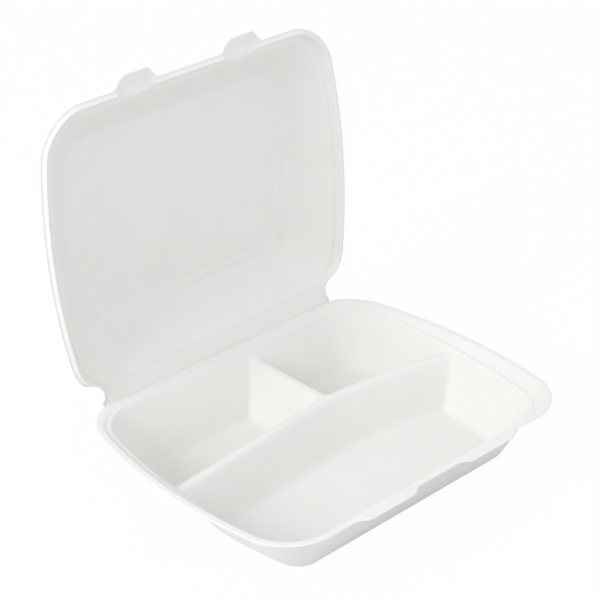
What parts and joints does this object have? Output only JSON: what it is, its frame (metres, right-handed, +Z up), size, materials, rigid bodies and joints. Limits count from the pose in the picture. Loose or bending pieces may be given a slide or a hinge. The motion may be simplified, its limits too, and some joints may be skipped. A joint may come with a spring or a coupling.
{
  "type": "bagasse clamshell container",
  "caption": "Pressed plant fibre takeaway box: divided tray with a flat lip, and a domed lid on a moulded hinge with locking tabs.",
  "frame": {"origin": "centre of the box round the open container, at the level of the tray's foot", "axes": "+X along the hinge, +Y from the tray's front rim to the hinge, +Z up"},
  "size_m": [0.24, 0.2353, 0.2465],
  "materials": {
    "fibre": "matte"
  },
  "bodies": {
    "tray": {"base_tray": "fibre"},
    "lid": {"lid": "fibre"}
  },
  "joints": [
    {"name": "lid_hinge", "type": "hinge", "parent": "tray", "child": "lid", "pos_m": [0, 0.09021, 0.0402], "axis": [-1, 0, 0], "range_deg": [-88.2, 91.8]}
  ]
}
